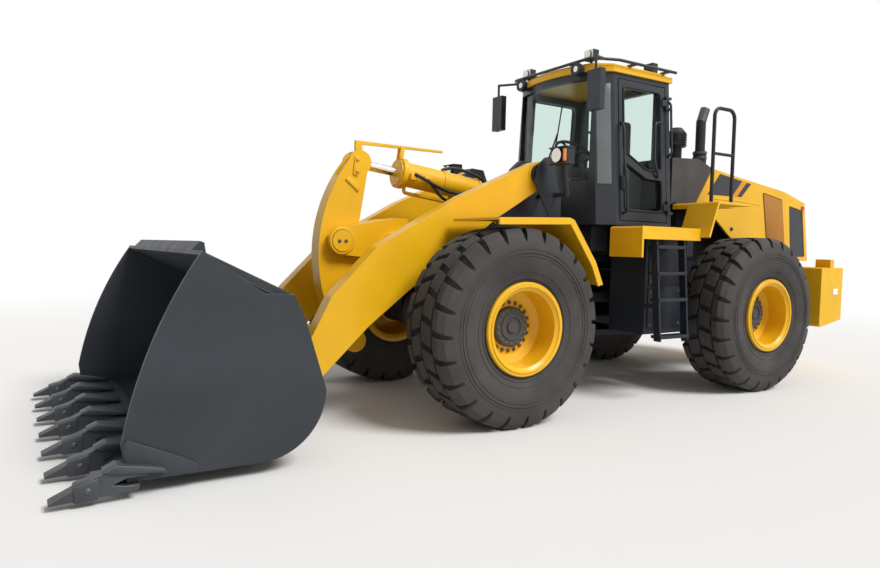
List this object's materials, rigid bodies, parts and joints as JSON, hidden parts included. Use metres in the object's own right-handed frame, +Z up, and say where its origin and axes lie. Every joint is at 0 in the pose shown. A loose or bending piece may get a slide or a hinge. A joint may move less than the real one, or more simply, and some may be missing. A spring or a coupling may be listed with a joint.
{
  "type": "wheel loader",
  "caption": "Articulated wheel loader with a toothed bucket on a crank-linked boom, a glazed cab, a tilting hood and lugged tyres.",
  "frame": {"origin": "on the ground, under the middle of the machine's overall length and width", "axes": "+X forward towards the bucket, +Y to the driver's left, +Z up"},
  "size_m": [8.597, 3.004, 3.42],
  "materials": {
    "yellow_paint": "semi-gloss",
    "charcoal_paint": "satin",
    "black_paint": "satin",
    "steel": "worn",
    "chrome_rod": "polished",
    "tyre_rubber": "matte",
    "cab_glazing": "clear",
    "interior_plastic": "matte",
    "red_lens": "gloss"
  },
  "bodies": {
    "rear_body": {"rear_frame": "yellow_paint", "rear_axle": "charcoal_paint", "engine": "charcoal_paint", "counterweight": "yellow_paint", "platforms": "yellow_paint", "ladders": "black_paint", "handrails": "black_paint", "cab_body": "charcoal_paint", "cab_glass": "cab_glazing", "cab_roof": "yellow_paint", "roof_rail": "black_paint", "work_lamps": "black_paint", "cab_interior": "interior_plastic", "cowl": "charcoal_paint", "exhaust_stack": "black_paint", "pre_cleaner": "black_paint", "tail_lamps": "red_lens"},
    "door_body": {"door": "charcoal_paint", "door_glass": "cab_glazing"},
    "hood_body": {"hood": "yellow_paint", "hood_grilles": "black_paint"},
    "front_body": {"front_frame": "yellow_paint", "front_axle": "charcoal_paint", "front_fenders": "yellow_paint", "headlamps": "black_paint", "tilt_pin": "steel"},
    "boom_body": {"boom": "yellow_paint", "crank_pin": "steel", "bucket_pins": "steel"},
    "crank_body": {"crank": "yellow_paint"},
    "bucket_body": {"bucket": "charcoal_paint", "bucket_teeth": "steel", "link_pin": "steel"},
    "link_body": {"link": "yellow_paint"},
    "tilt_barrel_body": {"tilt_barrel": "yellow_paint"},
    "tilt_rod_body": {"tilt_rod": "chrome_rod", "level_bar": "black_paint"},
    "lift_barrel_body": {"lift_barrels": "yellow_paint"},
    "lift_rod_body": {"lift_rods": "chrome_rod"},
    "steer_barrel_left_body": {"steer_barrel_left": "black_paint"},
    "steer_rod_left_body": {"steer_rod_left": "chrome_rod"},
    "steer_barrel_right_body": {"steer_barrel_right": "black_paint"},
    "steer_rod_right_body": {"steer_rod_right": "chrome_rod"},
    "wheel_fl": {"wheel_fl_tyre": "tyre_rubber", "wheel_fl_rim": "yellow_paint"},
    "wheel_fr": {"wheel_fr_tyre": "tyre_rubber", "wheel_fr_rim": "yellow_paint"},
    "wheel_rl": {"wheel_rl_tyre": "tyre_rubber", "wheel_rl_rim": "yellow_paint"},
    "wheel_rr": {"wheel_rr_tyre": "tyre_rubber", "wheel_rr_rim": "yellow_paint"}
  },
  "joints": [
    {"name": "steer", "type": "hinge", "parent": "rear_body", "child": "front_body", "pos_m": [-0.6135, 0, 0.96], "axis": [0, 0, -1], "range_deg": [-36, 36]},
    {"name": "boom_lift", "type": "hinge", "parent": "front_body", "child": "boom_body", "pos_m": [0.3115, 0, 2.13], "axis": [0, -1, 0], "range_deg": [-3, 88]},
    {"name": "bucket_tilt", "type": "hinge", "parent": "boom_body", "child": "bucket_body", "pos_m": [2.5775, 0, 0.427], "axis": [0, 1, 0], "range_deg": [-43, 130]},
    {"name": "door_hinge", "type": "hinge", "parent": "rear_body", "child": "door_body", "pos_m": [-1.3235, 0.72067, 2.44], "axis": [0, -0.0665, 0.9978], "range_deg": [0, 70]},
    {"name": "hood_lift", "type": "hinge", "parent": "rear_body", "child": "hood_body", "pos_m": [-2.1085, 0, 2.396], "axis": [0, 1, 0], "range_deg": [0, 50]},
    {"name": "wheel_fl_spin", "type": "hinge", "parent": "front_body", "child": "wheel_fl", "pos_m": [1.0115, 1.09, 0.8085], "axis": [0, 1, 0], "continuous": true},
    {"name": "wheel_fr_spin", "type": "hinge", "parent": "front_body", "child": "wheel_fr", "pos_m": [1.0115, -1.09, 0.8085], "axis": [0, 1, 0], "continuous": true},
    {"name": "wheel_rl_spin", "type": "hinge", "parent": "rear_body", "child": "wheel_rl", "pos_m": [-2.2385, 1.09, 0.8085], "axis": [0, 1, 0], "continuous": true},
    {"name": "wheel_rr_spin", "type": "hinge", "parent": "rear_body", "child": "wheel_rr", "pos_m": [-2.2385, -1.09, 0.8085], "axis": [0, 1, 0], "continuous": true},
    {"name": "crank_turn", "type": "hinge", "parent": "boom_body", "child": "crank_body", "pos_m": [2.0615, 0, 1.478], "axis": [0, -1, 0], "range_deg": [-10, 20]},
    {"name": "link_turn", "type": "hinge", "parent": "bucket_body", "child": "link_body", "pos_m": [2.6115, 0, 0.8], "axis": [0, -1, 0], "range_deg": [-30, 84]},
    {"name": "tilt_barrel_turn", "type": "hinge", "parent": "front_body", "child": "tilt_barrel_body", "pos_m": [0.2765, 0, 1.962], "axis": [0, -1, 0], "range_deg": [-4, 84]},
    {"name": "tilt_rod_slide", "type": "slide", "parent": "tilt_barrel_body", "child": "tilt_rod_body", "axis": [0.9918, 0, 0.1277], "range_m": [-0.17, 0.07]},
    {"name": "lift_barrel_turn", "type": "hinge", "parent": "front_body", "child": "lift_barrel_body", "pos_m": [-0.0285, 0, 1.14], "axis": [0, -1, 0], "range_deg": [-3, 52]},
    {"name": "lift_rod_slide", "type": "slide", "parent": "lift_barrel_body", "child": "lift_rod_body", "axis": [0.9857, 0, 0.1688], "range_m": [-0.036, 1]},
    {"name": "steer_barrel_left_turn", "type": "hinge", "parent": "rear_body", "child": "steer_barrel_left_body", "pos_m": [-1.2885, 0.45, 0.96], "axis": [0, 0, -1], "range_deg": [-12, 12]},
    {"name": "steer_rod_left_slide", "type": "slide", "parent": "steer_barrel_left_body", "child": "steer_rod_left_body", "axis": [0.9929, -0.1186, 0], "range_m": [-0.24, 0.24]},
    {"name": "steer_barrel_right_turn", "type": "hinge", "parent": "rear_body", "child": "steer_barrel_right_body", "pos_m": [-1.2885, -0.45, 0.96], "axis": [0, 0, -1], "range_deg": [-12, 12]},
    {"name": "steer_rod_right_slide", "type": "slide", "parent": "steer_barrel_right_body", "child": "steer_rod_right_body", "axis": [0.9929, 0.1186, 0], "range_m": [-0.24, 0.24]}
  ],
  "couplings": [
    {"joint": "crank_turn", "follows": "bucket_tilt", "ratio": 0.135},
    {"joint": "link_turn", "follows": "bucket_tilt", "ratio": 0.623},
    {"joint": "tilt_barrel_turn", "follows": "boom_lift", "ratio": 0.92},
    {"joint": "tilt_rod_slide", "follows": "bucket_tilt", "m_per_rad": -0.065},
    {"joint": "lift_barrel_turn", "follows": "boom_lift", "ratio": 0.557},
    {"joint": "lift_rod_slide", "follows": "boom_lift", "m_per_rad": 0.62},
    {"joint": "steer_barrel_left_turn", "follows": "steer", "ratio": 0.287},
    {"joint": "steer_rod_left_slide", "follows": "steer", "m_per_rad": 0.362},
    {"joint": "steer_barrel_right_turn", "follows": "steer", "ratio": 0.287},
    {"joint": "steer_rod_right_slide", "follows": "steer", "m_per_rad": -0.362}
  ]
}
